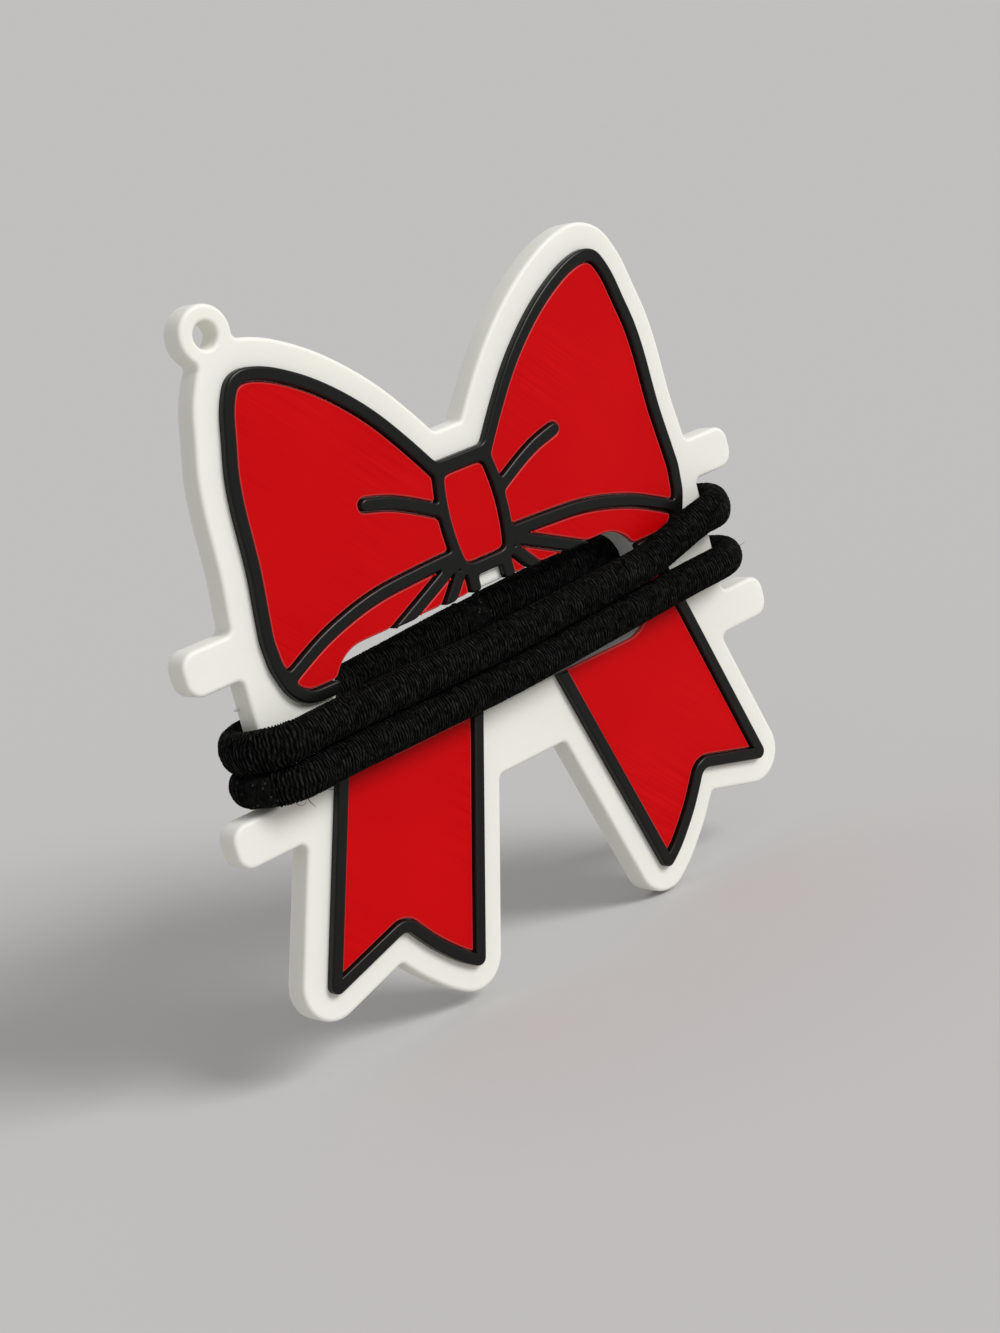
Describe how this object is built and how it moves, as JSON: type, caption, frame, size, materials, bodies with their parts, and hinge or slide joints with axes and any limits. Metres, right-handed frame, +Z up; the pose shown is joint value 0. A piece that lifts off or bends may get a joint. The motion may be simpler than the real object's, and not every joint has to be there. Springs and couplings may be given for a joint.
{
  "type": "hair tie holder",
  "caption": "Flat ribbon-bow plate with a waist slot, side prongs and a key-ring eye, carrying elastic hair ties stretched round its waist.",
  "frame": {"origin": "middle of the key-ring hole, halfway through the plate's thickness", "axes": "+X to the viewer's right along the plate, +Y out of the back face, +Z up the bow; the relief faces -Y"},
  "size_m": [0.086, 0.013, 0.0871],
  "materials": {
    "white_plastic": "layered matte plastic, warm white",
    "black_plastic": "layered matte plastic, black",
    "red_plastic": "layered matte plastic, red, with fine diagonal lines",
    "tie_fabric": "braided thread over elastic, black",
    "tie_bond": "fused joint of the elastic, smooth black"
  },
  "bodies": {
    "holder": {"base_plate": "white_plastic", "bow_outline": "black_plastic", "left_tail_outline": "black_plastic", "right_tail_outline": "black_plastic", "left_loop_panel": "red_plastic", "right_loop_panel": "red_plastic", "knot_panel": "red_plastic", "left_underfold_panel": "red_plastic", "right_underfold_panel": "red_plastic", "left_outer_gusset": "red_plastic", "right_outer_gusset": "red_plastic", "left_inner_gusset": "red_plastic", "right_inner_gusset": "red_plastic", "left_tail_panel": "red_plastic", "right_tail_panel": "red_plastic"},
    "upper_tie": {"upper_hair_tie": "tie_fabric", "upper_tie_bond": "tie_bond"},
    "lower_tie": {"lower_hair_tie": "tie_fabric", "lower_tie_bond": "tie_bond"}
  },
  "joints": [
    {"name": "upper_tie_slide", "type": "slide", "parent": "holder", "child": "upper_tie", "axis": [0, 0, 1], "range_m": [0, 0.001]},
    {"name": "lower_tie_slide", "type": "slide", "parent": "holder", "child": "lower_tie", "axis": [0, 0, 1], "range_m": [-0.0004, 0]}
  ]
}
